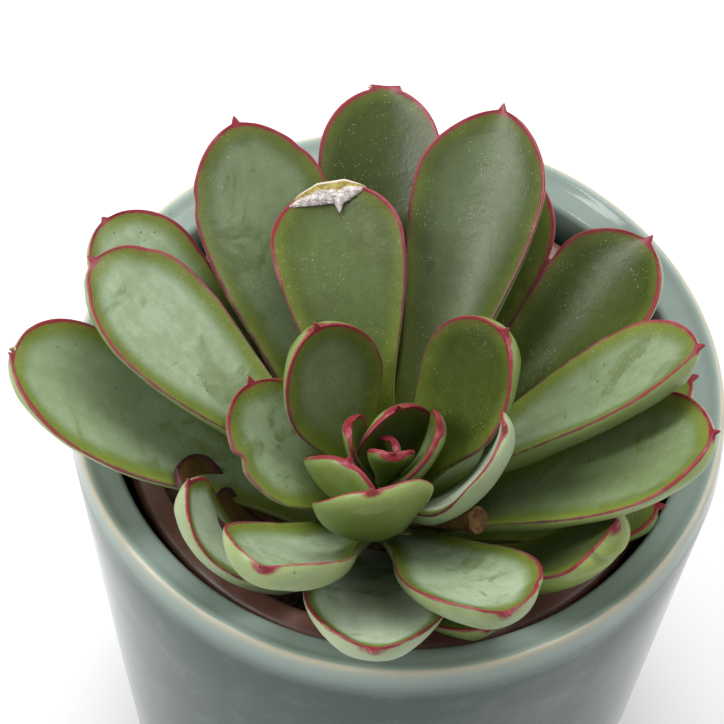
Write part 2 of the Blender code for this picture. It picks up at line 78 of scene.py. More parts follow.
class Wire:  # a node's output that takes ordinary arithmetic
    def __init__(self, tree, socket):
        self.tree = tree
        self.socket = socket

    def calc(self, operation, *others, first=None):
        values = (self, *others) if first is None else (first, self, *others)
        node = self.tree.nodes.new("ShaderNodeMath")
        node.operation = operation
        for place, value in enumerate(values):
            plug(self.tree, node.inputs[place], value)
        return Wire(self.tree, node.outputs[0])

    def __add__(self, other):
        return self.calc("ADD", other)

    def __sub__(self, other):
        return self.calc("SUBTRACT", other)

    def __rsub__(self, other):
        return self.calc("SUBTRACT", first=other)

    def __mul__(self, other):
        return self.calc("MULTIPLY", other)

    def __truediv__(self, other):
        return self.calc("DIVIDE", other)

    def __pow__(self, other):
        return self.calc("POWER", other)

    def step(self, low, high, start=0.0, end=1.0):  # eases from start at low to end at high
        node = addNode(self.tree, "ShaderNodeMapRange", {"interpolation_type": "SMOOTHSTEP"})
        for name, value in (("From Min", low), ("From Max", high), ("To Min", start), ("To Max", end)):
            plug(self.tree, node.inputs[name], value)
        plug(self.tree, node.inputs["Value"], self)
        return Wire(self.tree, node.outputs["Result"])

    def vector(self, operation, other=None, scale=None):
        node = addNode(self.tree, "ShaderNodeVectorMath", {"operation": operation})
        plug(self.tree, node.inputs[0], self)
        if other is not None:
            plug(self.tree, node.inputs[1], other)
        if scale is not None:
            plug(self.tree, node.inputs["Scale"], scale)
        return Wire(self.tree, node.outputs[0])

    def part(self, axis):
        node = addNode(self.tree, "ShaderNodeSeparateXYZ", None, {"Vector": self})
        return Wire(self.tree, node.outputs[axis])

    def noise(self, scale, detail=2.0, rough=0.5, warp=0.0):
        node = addNode(self.tree, "ShaderNodeTexNoise", None,
                       {"Vector": self, "Scale": scale, "Detail": detail, "Roughness": rough, "Distortion": warp})
        return Wire(self.tree, node.outputs["Fac"])

    def cells(self, scale, feature="F1", output="Distance"):
        node = addNode(self.tree, "ShaderNodeTexVoronoi", {"feature": feature}, {"Vector": self, "Scale": scale})
        return Wire(self.tree, node.outputs[output])


def mixColour(tree, amount, first, second, blend="MIX"):
    node = addNode(tree, "ShaderNodeMix", {"data_type": "RGBA", "blend_type": blend})
    for place, value in ((0, amount), (6, first), (7, second)):
        plug(tree, node.inputs[place], (*value, 1.0) if isinstance(value, tuple) else value)
    return Wire(tree, node.outputs[2])


# Materials.
def newMaterial(name, fixed):
    material = bpy.data.materials.new(name)
    material.use_nodes = True
    tree = material.node_tree
    shader = tree.nodes["Principled BSDF"]
    for socket, value in fixed.items():
        shader.inputs[socket].default_value = value
    place = Wire(tree, addNode(tree, "ShaderNodeTexCoord").outputs["Object"])
    return material, tree, shader, place


def attribute(tree, name, output="Fac"):
    return Wire(tree, addNode(tree, "ShaderNodeAttribute", {"attribute_name": name}).outputs[output])


def addBump(tree, shader, height, distance, strength=1.0):
    node = addNode(tree, "ShaderNodeBump", None, {"Height": height, "Distance": distance, "Strength": strength})
    tree.links.new(node.outputs["Normal"], shader.inputs["Normal"])


leafLook = {
    "deepGreenAndShade": (0.026, 0.038, 0.003),       # deepest green, also painted as shade over the bases of older leaves
    "green": (0.100, 0.142, 0.018),
    "bloom": (0.250, 0.325, 0.200),       # waxy blue-grey film
    "frost": (0.430, 0.490, 0.370),
    "band": (0.190, 0.240, 0.040),        # yellow-green inside the margin
    "under": (0.210, 0.275, 0.050),
    "pale": (0.300, 0.350, 0.140),
    "fresh": (0.230, 0.310, 0.030),       # bright young green, with a painted glow of light through the leaf bases towards the heart
    "red": (0.215, 0.020, 0.034),
    "plum": (0.110, 0.030, 0.045),
    "pink": (0.330, 0.120, 0.130),
    "speck": (0.600, 0.620, 0.480),
    "dot": (0.040, 0.026, 0.012),
    "bandWidth": 4.5,                     # mm in from the margin
    "redWidth": 0.55,
    "bloomFrom": 1.0,
    "bloomFull": 7.5,                     # less on the most bloomed leaves
}


def leafMaterial():
    look = leafLook
    material, tree, shader, place = newMaterial("leafSkin", {
        "Subsurface Weight": 0.12, "Subsurface Radius": (0.9, 1.1, 0.3), "Subsurface Scale": 0.003,
        "Specular IOR Level": 0.34,
    })
    edge = attribute(tree, "edgeMm")
    along = attribute(tree, "along")
    face = attribute(tree, "faceUp")
    flat = attribute(tree, "flatMm", "Vector")
    bloomShare = attribute(tree, "bloom")
    tone = attribute(tree, "tone")
    fresh = attribute(tree, "fresh")
    broad = place.noise(48.0, 3.0, 0.55)
    patches = place.noise(130.0, 4.0, 0.6, 0.5)
    mottle = place.noise(420.0, 4.0, 0.65)
    fine = place.noise(1500.0, 3.0, 0.6)
    streaks = flat.vector("MULTIPLY", (0.05, 0.45, 1.0)).noise(1.0, 2.0, 0.5)
    veins = flat.vector("MULTIPLY", (0.25, 3.2, 1.0)).noise(1.0, 2.0, 0.5)
    scratches = flat.vector("MULTIPLY", (0.22, 0.05, 1.0)).noise(3.2, 2.0, 0.7, 2.0)
    lightness = tone + (broad - 0.5) * 0.6
    green = mixColour(tree, lightness.step(-0.1, 1.0), look["deepGreenAndShade"], look["green"])
    green = mixColour(tree, (mottle - 0.42) * tone, green, look["band"])
    film = edge.step(look["bloomFrom"], look["bloomFull"] - bloomShare * 2.4) * bloomShare
    film = film * patches.step(0.3, 0.6, 0.82, 1.0) * streaks.step(0.25, 0.7, 0.88, 1.0)
    worn = place.vector("ADD", (0.2, 0.4, 0.1)).noise(75.0, 3.0, 0.6, 0.8).step(0.56, 0.64)
    worn = worn * mottle.step(0.36, 0.6, 0.35, 1.0)
    rubbed = scratches.step(0.66, 0.71)
    film = film * (1.0 - worn * 0.6) * (1.0 - rubbed * 0.5) * (mottle - 0.5).calc("MULTIPLY_ADD", 0.5, 1.0)
    upper = mixColour(tree, film, green, look["bloom"])
    upper = mixColour(tree, (film - 0.9) * 1.1, upper, look["frost"])
    band = edge.step(look["bandWidth"], 0.5) * patches.step(0.25, 0.65, 0.45, 1.0)
    band = band * bloomShare.step(0.6, 1.7, 1.0, 0.3)
    upper = mixColour(tree, band * tone.step(0.0, 0.8, 0.3, 0.75), upper, look["band"])
    under = mixColour(tree, lightness.step(0.1, 1.0), look["green"], look["under"])
    under = mixColour(tree, bloomShare * patches.step(0.35, 0.7, 0.25, 0.55), under, look["bloom"])
    under = mixColour(tree, (bloomShare - 1.0) * 0.7, under, look["frost"])
    under = mixColour(tree, edge.step(3.0, 0.6) * 0.35, under, look["pale"])
    skin = mixColour(tree, face, under, upper)
    # painted shade: the bases of older leaves darken towards the deepest green, where the rosette shades them
    skin = mixColour(tree, along.step(0.3, 0.0) * (1.0 - fresh) * 0.5, skin, look["deepGreenAndShade"])
    # young green and painted glow: the bases of upper leaves and the heart lighten to a bright yellow-green, as if lit
    # through
    skin = mixColour(tree, along.step(0.55, 0.0) * fresh, skin, look["fresh"])
    skin = mixColour(tree, (veins - 0.5).calc("ABSOLUTE") * 0.16, skin, look["pale"])
    specks = place.cells(1300.0).step(0.17, 0.09) * patches.step(0.42, 0.6)
    skin = mixColour(tree, specks * 0.45, skin, look["speck"])
    dots = place.vector("ADD", (0.31, 0.17, 0.05)).cells(300.0).step(0.09, 0.05) * broad.step(0.5, 0.58)
    skin = mixColour(tree, dots * 0.7, skin, look["dot"])
    wander = place.noise(300.0, 3.0, 0.6)
    below = attribute(tree, "lineUnder")
    width = (broad - 0.5) * 0.5 + below + face * (look["redWidth"] - below)
    width = width * along.step(0.3, 0.95, 0.45, 1.3)
    line = (edge + (wander - 0.5) * 0.6).step(width + 0.16, width - 0.22)
    line = line * patches.step(0.28, 0.42, 0.5, 1.0) * along.step(0.12, 0.5, 0.15, 1.0)
    redness = mixColour(tree, along.step(0.92, 0.5), look["red"], look["plum"])
    redness = mixColour(tree, patches.step(0.5, 0.8) * 0.7, redness, look["pink"])
    flush = (edge + (wander - 0.5) * 1.6).step(2.0, 0.3) * along.step(0.4, 0.95, 0.02, 0.26) * face
    skin = mixColour(tree, flush, skin, look["red"])
    skin = mixColour(tree, line, skin, redness)
    tree.links.new(skin.socket, shader.inputs["Base Color"])
    rough = film.step(0.0, 0.8, 0.36, 0.50) + (fine - 0.5) * 0.14
    tree.links.new(rough.socket, shader.inputs["Roughness"])
    addBump(tree, shader, fine * 0.16 + mottle * 0.25 + veins * 0.12 + patches, 0.00016)
    return material


def glazeMaterial(rim):
    material, tree, shader, place = newMaterial("celadonGlaze", {"Specular IOR Level": 0.16})
    broad = place.noise(26.0, 3.0, 0.5)
    cloud = place.noise(120.0, 4.0, 0.6)
    flat = place.vector("MULTIPLY", (1.0, 1.0, 0.0)).vector("LENGTH")
    radius = Wire(tree, flat.socket.node.outputs["Value"])
    level = place.part("Z")
    # painted light and shade: the glaze gets a dark shaded copy for the wall and a bright lit copy for the rim top,
    # blended by height near the rim
    wall = mixColour(tree, broad.step(0.3, 0.7), (0.040, 0.064, 0.055), (0.054, 0.082, 0.070))
    lip = mixColour(tree, broad.step(0.3, 0.7), (0.250, 0.315, 0.285), (0.290, 0.350, 0.310))
    body = mixColour(tree, level.step(rim["top"] - 10 * mm, rim["top"] - 1.5 * mm), wall, lip)
    body = mixColour(tree, cloud.step(0.45, 0.75) * 0.2, body, (0.20, 0.24, 0.20))
    ridge = (radius - rim["crest"]).calc("ABSOLUTE").step(0.75 * mm, 0.1 * mm) * level.step(
        rim["top"] - 2.6 * mm, rim["top"] - 1.4 * mm)
    body = mixColour(tree, ridge * cloud.step(0.2, 0.6, 0.55, 0.95), body, (0.50, 0.46, 0.35))
    pits = place.cells(260.0).step(0.07, 0.04) * cloud.step(0.55, 0.62)
    body = mixColour(tree, pits * 0.6, body, (0.12, 0.10, 0.07))
    foot = level.step(1.6 * mm, 0.9 * mm) * place.noise(500.0, 2.0).step(0.2, 0.4, 0.7, 1.0)
    body = mixColour(tree, foot, body, (0.48, 0.42, 0.33))
    tree.links.new(body.socket, shader.inputs["Base Color"])
    rough = foot.step(0.2, 0.8, 0.09, 0.75) + cloud.step(0.3, 0.8, 0.0, 0.05)
    tree.links.new(rough.socket, shader.inputs["Roughness"])
    addBump(tree, shader, broad * 1.0 + cloud * 0.12 + foot * fineGrain(place), 0.0006, 0.5)
    return material


def fineGrain(place):
    return place.noise(2600.0, 2.0, 0.7)


def plasticMaterial():
    material, tree, shader, place = newMaterial("nurseryPlastic", {})
    dust = place.noise(90.0, 5.0, 0.7).step(0.5, 0.75)
    scuffs = place.vector("MULTIPLY", (1.0, 1.0, 6.0)).noise(140.0, 3.0, 0.6)
    skin = mixColour(tree, scuffs.step(0.3, 0.7), (0.120, 0.050, 0.034), (0.165, 0.075, 0.052))
    skin = mixColour(tree, dust * 0.45, skin, (0.10, 0.075, 0.05))
    tree.links.new(skin.socket, shader.inputs["Base Color"])
    tree.links.new((dust * 0.4 + 0.34).socket, shader.inputs["Roughness"])
    addBump(tree, shader, scuffs + fineGrain(place) * 0.4, 0.0001)
    return material


def earthMaterial(name, dark, light, scale):
    material, tree, shader, place = newMaterial(name, {"Roughness": 0.95, "Specular IOR Level": 0.2})
    grain = place.noise(scale, 5.0, 0.65)
    skin = mixColour(tree, grain.step(0.35, 0.7), dark, light)
    tree.links.new(skin.socket, shader.inputs["Base Color"])
    addBump(tree, shader, grain + fineGrain(place) * 0.4, 0.0005)
    return material


def barkMaterial(name, dark, light, rings):
    material, tree, shader, place = newMaterial(name, {"Specular IOR Level": 0.25})
    band = place.vector("MULTIPLY", (1.0, 1.0, rings)).noise(150.0, 4.0, 0.6)
    fibre = place.noise(600.0, 4.0, 0.7)
    skin = mixColour(tree, band.step(0.35, 0.65), dark, light)
    skin = mixColour(tree, fibre.step(0.55, 0.8) * 0.5, skin, (0.42, 0.34, 0.22))
    tree.links.new(skin.socket, shader.inputs["Base Color"])
    tree.links.new((fibre * 0.3 + 0.55).socket, shader.inputs["Roughness"])
    addBump(tree, shader, band + fibre * 0.6, 0.0006)
    return material


def dryMaterial():
    material, tree, shader, place = newMaterial("witheredLeaf", {"Specular IOR Level": 0.35})
    edge = attribute(tree, "edgeMm")
    flat = attribute(tree, "flatMm", "Vector")
    veins = flat.vector("MULTIPLY", (0.12, 1.4, 1.0)).noise(1.0, 4.0, 0.65)
    broad = place.noise(110.0, 4.0, 0.6)
    skin = mixColour(tree, broad.step(0.35, 0.65), (0.105, 0.060, 0.020), (0.190, 0.095, 0.025))
    skin = mixColour(tree, veins.step(0.5, 0.75) * 0.5, skin, (0.055, 0.030, 0.018))
    skin = mixColour(tree, edge.step(1.6, 0.3), skin, (0.075, 0.022, 0.030))
    tree.links.new(skin.socket, shader.inputs["Base Color"])
    tree.links.new(broad.step(0.2, 0.8, 0.4, 0.7).socket, shader.inputs["Roughness"])
    addBump(tree, shader, veins + broad * 0.7, 0.0005)
    return material


def tornMaterial():  # torn skin: tan flesh at the margin, papery lilac-white below
    material, tree, shader, place = newMaterial("tornSkin", {"Specular IOR Level": 0.3})
    inward = attribute(tree, "inward")
    grain = place.noise(700.0, 4.0, 0.7)
    fibre = place.vector("MULTIPLY", (0.5, 1.0, 1.6)).noise(1500.0, 3.0, 0.7)
    tan = mixColour(tree, grain.step(0.35, 0.65), (0.175, 0.120, 0.018), (0.360, 0.290, 0.090))
    paper = mixColour(tree, fibre.step(0.35, 0.65), (0.400, 0.330, 0.330), (0.760, 0.720, 0.680))
    skin = mixColour(tree, (inward + (grain - 0.5) * 0.35).step(0.30, 0.46), tan, paper)
    rimLight = inward.step(0.12, 0.02)
    skin = mixColour(tree, rimLight, skin, (0.700, 0.640, 0.560))
    skin = mixColour(tree, inward.step(0.9, 1.0) * 0.6, skin, (0.420, 0.250, 0.300))
    tree.links.new(skin.socket, shader.inputs["Base Color"])
    tree.links.new((grain * 0.3 + 0.5).socket, shader.inputs["Roughness"])
    addBump(tree, shader, fibre + grain, 0.0005)
    return material


# Geometry Nodes.
def newTree(name, inputs):
    tree = bpy.data.node_groups.new(name, "GeometryNodeTree")
    for label, kind in inputs:
        tree.interface.new_socket(name=label, in_out="INPUT", socket_type="NodeSocket" + kind)
    tree.interface.new_socket(name="Result", in_out="OUTPUT", socket_type="NodeSocketGeometry")
    source = tree.nodes.new("NodeGroupInput")
    given = {label: Wire(tree, source.outputs[label]) for label, kind in inputs}
    return tree, given


def closeTree(tree, geometry, material):
    real = addNode(tree, "GeometryNodeRealizeInstances", None, {"Geometry": geometry})
    painted = addNode(tree, "GeometryNodeSetMaterial", None, {"Geometry": real.outputs[0], "Material": material})
    sink = tree.nodes.new("NodeGroupOutput")
    tree.links.new(painted.outputs[0], sink.inputs[0])


def grown(source, tree, values, name):  # runs a tree on an object and keeps the result as a plain mesh
    modifier = source.modifiers.new(tree.name, "NODES")
    modifier.node_group = tree
    sockets = {item.name: item.identifier for item in tree.interface.items_tree if item.in_out == "INPUT"}
    for label, value in values.items():
        modifier[sockets[label]] = value
    graph = bpy.context.evaluated_depsgraph_get()
    mesh = bpy.data.meshes.new_from_object(source.evaluated_get(graph))
    mesh.name = name
    source.modifiers.remove(modifier)
    piece = bpy.data.objects.new(name, mesh)
    bpy.context.scene.collection.objects.link(piece)
    old = source.data
    bpy.data.objects.remove(source, do_unlink=True)
    bpy.data.meshes.remove(old)
    return piece


def runOfPoints(name, points, **fields):  # an open run of joined points that carries its fields
    mesh = bpy.data.meshes.new(name)
    mesh.from_pydata([tuple(point) for point in points], [(i, i + 1) for i in range(len(points) - 1)], [])
    for label, values in fields.items():
        values = np.asarray(values, float)
        kind = "FLOAT_VECTOR" if values.ndim == 2 else "FLOAT"
        data = mesh.attributes.new(label, kind, "POINT").data
        data.foreach_set("vector" if values.ndim == 2 else "value", values.ravel())
    run = bpy.data.objects.new(name, mesh)
    bpy.context.scene.collection.objects.link(run)
    return run


def sampled(tree, geometry, index, label=None, kind="FLOAT"):  # a field of the run at one of its points
    if label is None:
        kind = "FLOAT_VECTOR"
        value = addNode(tree, "GeometryNodeInputPosition").outputs[0]
    else:
        named = addNode(tree, "GeometryNodeInputNamedAttribute", {"data_type": kind}, {"Name": label})
        value = named.outputs["Attribute"]
    node = addNode(tree, "GeometryNodeSampleIndex", {"data_type": kind, "domain": "POINT"},
                   {"Geometry": geometry, "Value": value, "Index": index})
    return Wire(tree, node.outputs["Value"])


def gridOver(tree, rows, columns):  # a plain grid, with its row number and its share of the way round
    grid = addNode(tree, "GeometryNodeMeshGrid", None,
                   {"Size X": 1.0, "Size Y": 1.0, "Vertices X": rows, "Vertices Y": columns})
    place = Wire(tree, addNode(tree, "GeometryNodeInputPosition").outputs[0])
    row = ((place.part("X") + 0.5) * (rows - 1.0)).calc("ROUND")
    return grid.outputs["Mesh"], row, place.part("Y") + 0.5


def store(tree, geometry, label, value, kind="FLOAT"):
    node = addNode(tree, "GeometryNodeStoreNamedAttribute", {"data_type": kind, "domain": "POINT"},
                   {"Geometry": geometry, "Name": label, "Value": value})
    return node.outputs[0]


def joined(tree, x, y, z):
    return Wire(tree, addNode(tree, "ShaderNodeCombineXYZ", None, {"X": x, "Y": y, "Z": z}).outputs[0])


def closeSkin(tree, geometry, place, wander, wanderScale):  # moves the grid to its shape and shuts its seams
    moved = addNode(tree, "GeometryNodeSetPosition", None, {"Geometry": geometry, "Position": place})
    shut = addNode(tree, "GeometryNodeMergeByDistance", None, {"Geometry": moved.outputs[0], "Distance": 0.01 * mm})
    here = Wire(tree, addNode(tree, "GeometryNodeInputPosition").outputs[0])
    normal = Wire(tree, addNode(tree, "GeometryNodeInputNormal").outputs[0])
    push = normal.vector("SCALE", scale=(here.noise(wanderScale, 2.0) - 0.5) * wander)
    rough = addNode(tree, "GeometryNodeSetPosition", None, {"Geometry": shut.outputs[0], "Offset": push})
    smooth = addNode(tree, "GeometryNodeSetShadeSmooth", None, {"Geometry": rough.outputs[0]})
    return smooth.outputs[0]


def turnedTree():  # turns a profile of (radius, 0, height) points about the Z axis
    tree, given = newTree("turnedSkin", [("Profile", "Geometry"), ("Points", "Int"), ("Sides", "Int"),
                                         ("Wander", "Float"), ("Wander Scale", "Float"), ("Material", "Material")])
    grid, row, share = gridOver(tree, given["Points"], given["Sides"] + 1.0)
    point = sampled(tree, given["Profile"], row)
    turn = share * (2 * pi)
    place = joined(tree, point.part("X") * turn.calc("COSINE"), point.part("X") * turn.calc("SINE"), point.part("Z"))
    skin = closeSkin(tree, grid, place, given["Wander"], given["Wander Scale"])
    closeTree(tree, skin, given["Material"])
    return tree


leafSection = {"power": 2.4, "root": 0.8, "edgePower": 28.0, "wavePower": 3.0}


def leafTree():  # sweeps a leaf's section along its path, from the fields that the path carries
    tree, given = newTree("leafSweep", [("Path", "Geometry"), ("Stations", "Int"), ("Around", "Int"),
                                        ("Wander", "Float"), ("Wander Scale", "Float"), ("Material", "Material")])
    grid, row, share = gridOver(tree, given["Stations"], given["Around"] + 1.0)

    def field(label, kind="FLOAT"):
        return sampled(tree, given["Path"], row, label, kind)

    face = share.calc("LESS_THAN", 0.5)
    across = (1.0 - (share * 4.0 - 2.0).calc("ABSOLUTE")) * (0.5 * pi)
    across = across.calc("SINE")
    size = across.calc("ABSOLUTE")
    leftSide = across.calc("GREATER_THAN", 0.0)
    half = field("left") * leftSide + field("right") * (1.0 - leftSide)
    cup = field("cup")
    reach = half / cup
    angle = cup * across
    round_ = (1.0 - size ** leafSection["edgePower"]).calc("MAXIMUM", 0.0).calc("SQRT")
    belly = (1.0 - size ** leafSection["power"]).calc("MAXIMUM", 0.0) ** leafSection["root"]
    edge = field("edge") * 0.5
    sink = edge * (1.0 - round_) * face + (edge * (round_ + 1.0) + field("body") * belly) * (1.0 - face)
    lift = reach * (1.0 - angle.calc("COSINE")) + field("ripple") * size ** leafSection["wavePower"] * across.calc("SIGN")
    side = field("side", "FLOAT_VECTOR")
    up = field("up", "FLOAT_VECTOR")
    outward = up.vector("SCALE", scale=angle.calc("COSINE")).vector(
        "SUBTRACT", side.vector("SCALE", scale=angle.calc("SINE")))
    place = sampled(tree, given["Path"], row)
    place = place.vector("ADD", side.vector("SCALE", scale=reach * angle.calc("SINE")))
    place = place.vector("ADD", up.vector("SCALE", scale=lift))
    place = place.vector("SUBTRACT", outward.vector("SCALE", scale=sink))
    acrossMm = half * across * (1 / mm)
    inward = half * (1.0 - size) * field("marginCos")
    bulge = field("body") * belly * (1.0 - face)
    inward = (inward * inward + bulge * bulge).calc("SQRT")
    tip = field("toTip")
    bulge = bulge * tip.step(0.0, 1.5 * mm)
    edgeMm = inward.calc("MINIMUM", (tip * tip + bulge * bulge).calc("SQRT")) * (1 / mm)
    skin = store(tree, grid, "faceUp", face)
    skin = store(tree, skin, "along", field("along"))
    skin = store(tree, skin, "edgeMm", edgeMm)
    skin = store(tree, skin, "flatMm", joined(tree, field("alongMm"), acrossMm, field("number")), "FLOAT_VECTOR")
    skin = closeSkin(tree, skin, place, given["Wander"], given["Wander Scale"])
    closeTree(tree, skin, given["Material"])
    return tree


turnedSkin = turnedTree()
leafSweep = leafTree()
print("node trees ready")


# Stem, the leaves' common axis: levels in mm over the cover pot's rim.
stemForm = {
    "x": -2.0, "y": -23.0, "lean": 0.12, "leanFrom": -20.0, "rim": 120.0,
    "levels": [-46.0, -20.0, -10.0, -4.0, 2.0, 7.0],
    "radii": [6.0, 7.5, 7.0, 5.8, 3.8, 1.6],
}


def leaf(azimuth, level, rise, curl, length, width, bend=0, roll=0, cup=25, dome=1.15, thick=5.5, spine=1.6,
         wave=0.0, waves=1.5, root=0.3, bloom=0.6, tone=0.4, fresh=0.0, point=0.0, blunt=0.0, notches=(), lineUnder=0.16):
    return dict(locals())


def stemAxis(level):
    lean = stemForm["lean"] * max(level - stemForm["leanFrom"], 0.0)
    return stemForm["x"], stemForm["y"] - lean, float(np.interp(level, stemForm["levels"], stemForm["radii"]))


leafForm = {
    "stations": 64, "around": 44, "crowding": 1.7, "pathSteps": 200, "bendPower": 1.3,
    "neck": 0.40, "neckPower": 1.5, "domePower": 2.1, "domeRoot": 0.56, "spineBase": 0.85, "spineRun": 2.6, "spinePower": 0.8,
    "edge": 0.45, "wander": 0.55 * mm, "wanderScale": 70.0, "asymmetry": 0.018,
}


def leafHeading(spec, share):
    slope = radians(spec["rise"]) + radians(spec["curl"]) * share ** leafForm["bendPower"]
    turn = radians(spec["azimuth"]) + radians(spec["bend"]) * share
    along = np.stack([np.cos(slope) * np.cos(turn), np.cos(slope) * np.sin(turn), np.sin(slope)], -1)
    level = np.stack([-np.sin(turn), np.cos(turn), 0 * turn], -1)
    return along, level


def leafHalf(spec, share):
    half = 0.5 * spec["width"]
    blade = 1 - spec["spine"] / spec["length"]
    widest = 1 - spec["dome"] * half / (spec["length"] * blade)
    reach = np.clip(share / blade, 0, 1)
    swell = (0.5 - 0.5 * np.cos(pi * np.clip(reach / widest, 0, 1))) ** leafForm["neckPower"]
    dome = np.clip((reach - widest) / (1 - widest), 0, 1)
    outline = np.where(reach < widest, leafForm["neck"] + (1 - leafForm["neck"]) * swell,
                       (1 - dome ** leafForm["domePower"]) ** (leafForm["domeRoot"] + spec["point"]))
    if spec["blunt"]:  # a tip that was lost: the outline stops at this half width
        return np.where(reach < 1, np.maximum(half * outline, spec["blunt"]), spec["blunt"]), 1.0
    toEnd = (1 - share) * spec["length"]
    spine = leafForm["spineBase"] * np.clip(toEnd / spec["spine"], 0, 1) ** leafForm["spinePower"]
    spine = spine * np.exp(-np.clip(toEnd - spec["spine"], 0, None) / leafForm["spineRun"])
    return half * outline * (reach < 1) + spine, blade


def leafPath(name, spec, number):
    count = leafForm["stations"]
    share = 1 - (1 - np.linspace(0, 1, count)) ** leafForm["crowding"]
    steps = (np.arange(leafForm["pathSteps"]) + 0.5) / leafForm["pathSteps"]
    heading = leafHeading(spec, steps)[0]
    path = np.concatenate([np.zeros((1, 3)), np.cumsum(heading, 0)]) * spec["length"] / leafForm["pathSteps"]
    x, y, radius = stemAxis(spec["level"])
    reach = radius + spec["root"]
    turn = radians(spec["azimuth"])
    path += np.array([x + reach * cos(turn), y + reach * sin(turn), stemForm["rim"] + spec["level"]])
    knots = np.linspace(0, 1, leafForm["pathSteps"] + 1)
    place = np.stack([np.interp(share, knots, path[:, axis]) for axis in range(3)], -1)
    along, level = leafHeading(spec, share)
    upright = np.cross(along, level)
    roll = radians(spec["roll"])
    side = level * cos(roll) + upright * sin(roll)
    up = upright * cos(roll) - level * sin(roll)
    half, blade = leafHalf(spec, share)
    random = np.random.default_rng(100 + number)
    sides = []
    for flank in (1, -1):
        phase = random.uniform(0, 2 * pi, 3)
        uneven = sum(np.sin((3 + 4 * k) * share + phase[k]) / (1 + k) for k in range(3))
        width = half * (1 + leafForm["asymmetry"] * uneven)
        for notchSide, fromTip, depth, wide in spec["notches"]:
            if notchSide == flank:
                reachMm = (1 - share) * spec["length"] - fromTip
                width = width - depth * np.exp(-(reachMm / wide) ** 2)
        sides.append(np.maximum(width, 0.02))
    body = spec["thick"] * (1 - 0.35 * share ** 2) * np.clip(0.55 + 2.2 * share, 0, 1)
    body = body * np.clip(3.2 * half / spec["width"], 0.15, 1)
    edge = leafForm["edge"] * np.clip(half / 1.2, 0.05, 1)
    cup = radians(spec["cup"]) * np.clip(share / 0.25, 0.55, 1)
    ripple = spec["wave"] * np.sin(2 * pi * spec["waves"] * share) * 2 * half / spec["width"]
    slope = np.gradient(half, share * spec["length"])
    marginCos = 1 / np.sqrt(1 + slope ** 2)
    toTip = np.clip(blade - share, 0, 1) * spec["length"]
    shut = [0, *range(count), count - 1]  # both ends close on a point of no width
    ends = np.array([0.0] + [1.0] * count + [0.0])
    place = place[shut]
    place[0] -= 0.5 * (body[0] + edge[0]) * up[0]
    place[-1] -= 0.5 * edge[-1] * up[-1]
    return runOfPoints(name, place * mm, side=side[shut], up=up[shut], left=sides[0][shut] * ends * mm + 1e-7,
                       right=sides[1][shut] * ends * mm + 1e-7, cup=cup[shut], body=body[shut] * ends * mm,
                       edge=edge[shut] * ends * mm, ripple=ripple[shut] * ends * mm, marginCos=marginCos[shut],
                       toTip=toTip[shut] * mm, along=share[shut], alongMm=share[shut] * spec["length"],
                       number=np.full(count + 2, 7.0 * number))


def facePoint(spec, along, across, lift):  # mm along and across a leaf to a point over its face
    share = np.clip(np.asarray(along, float) / spec["length"], 0, 1.05)
    steps = (np.arange(leafForm["pathSteps"]) + 0.5) / leafForm["pathSteps"]
    path = np.cumsum(leafHeading(spec, steps)[0], 0) * spec["length"] / leafForm["pathSteps"]
    x, y, radius = stemAxis(spec["level"])
    reach = radius + spec["root"]
    turn = radians(spec["azimuth"])
    start = np.array([x + reach * cos(turn), y + reach * sin(turn), stemForm["rim"] + spec["level"]])
    place = np.stack([np.interp(share, steps, path[:, axis]) for axis in range(3)], -1) + start
    heading, level = leafHeading(spec, share)
    upright = np.cross(heading, level)
    roll = radians(spec["roll"])
    side = level * cos(roll) + upright * sin(roll)
    up = upright * cos(roll) - level * sin(roll)
    cup = radians(spec["cup"])
    bow = cup * np.asarray(across, float) / (0.5 * spec["width"])
    reach = 0.5 * spec["width"] / cup
    outward = up * np.cos(bow)[:, None] - side * np.sin(bow)[:, None]
    place = place + side * (reach * np.sin(bow))[:, None] + up * (reach * (1 - np.cos(bow)))[:, None]
    return place + outward * np.asarray(lift, float)[:, None]


def sheet(name, points, rows, columns, thickness, material, **fields):  # a thin sheet over a grid of points
    grid = np.asarray(points).reshape(rows, columns, 3)
    normal = np.cross(np.gradient(grid, axis=1), np.gradient(grid, axis=0))
    normal /= np.linalg.norm(normal, axis=2, keepdims=True) + 1e-9
    front = (grid + normal * thickness / 2).reshape(-1, 3) * mm
    back = (grid - normal * thickness / 2).reshape(-1, 3) * mm
    count = rows * columns
    faces = []
    for row in range(rows - 1):
        for column in range(columns - 1):
            a = row * columns + column
            faces.append((a, a + columns, a + columns + 1, a + 1))
            faces.append((count + a, count + a + 1, count + a + columns + 1, count + a + columns))
    around = [column for column in range(columns)] + [row * columns + columns - 1 for row in range(1, rows)]
    around += [(rows - 1) * columns + column for column in range(columns - 2, -1, -1)]
    around += [row * columns for row in range(rows - 2, 0, -1)]
    for a, b in zip(around, around[1:] + around[:1]):
        faces.append((a, b, count + b, count + a))
    mesh = bpy.data.meshes.new(name)
    mesh.from_pydata([tuple(point) for point in np.concatenate([front, back])], [], faces)
    for label, values in fields.items():
        values = np.tile(np.asarray(values, float).ravel(), 2)
        mesh.attributes.new(label, "FLOAT", "POINT").data.foreach_set("value", values)
    mesh.materials.append(material)
    mesh.polygons.foreach_set("use_smooth", [True] * len(mesh.polygons))
    shell = bmesh.new()
    shell.from_mesh(mesh)
    bmesh.ops.recalc_face_normals(shell, faces=shell.faces)
    shell.to_mesh(mesh)
    shell.free()
    piece = bpy.data.objects.new(name, mesh)
    bpy.context.scene.collection.objects.link(piece)
    return piece


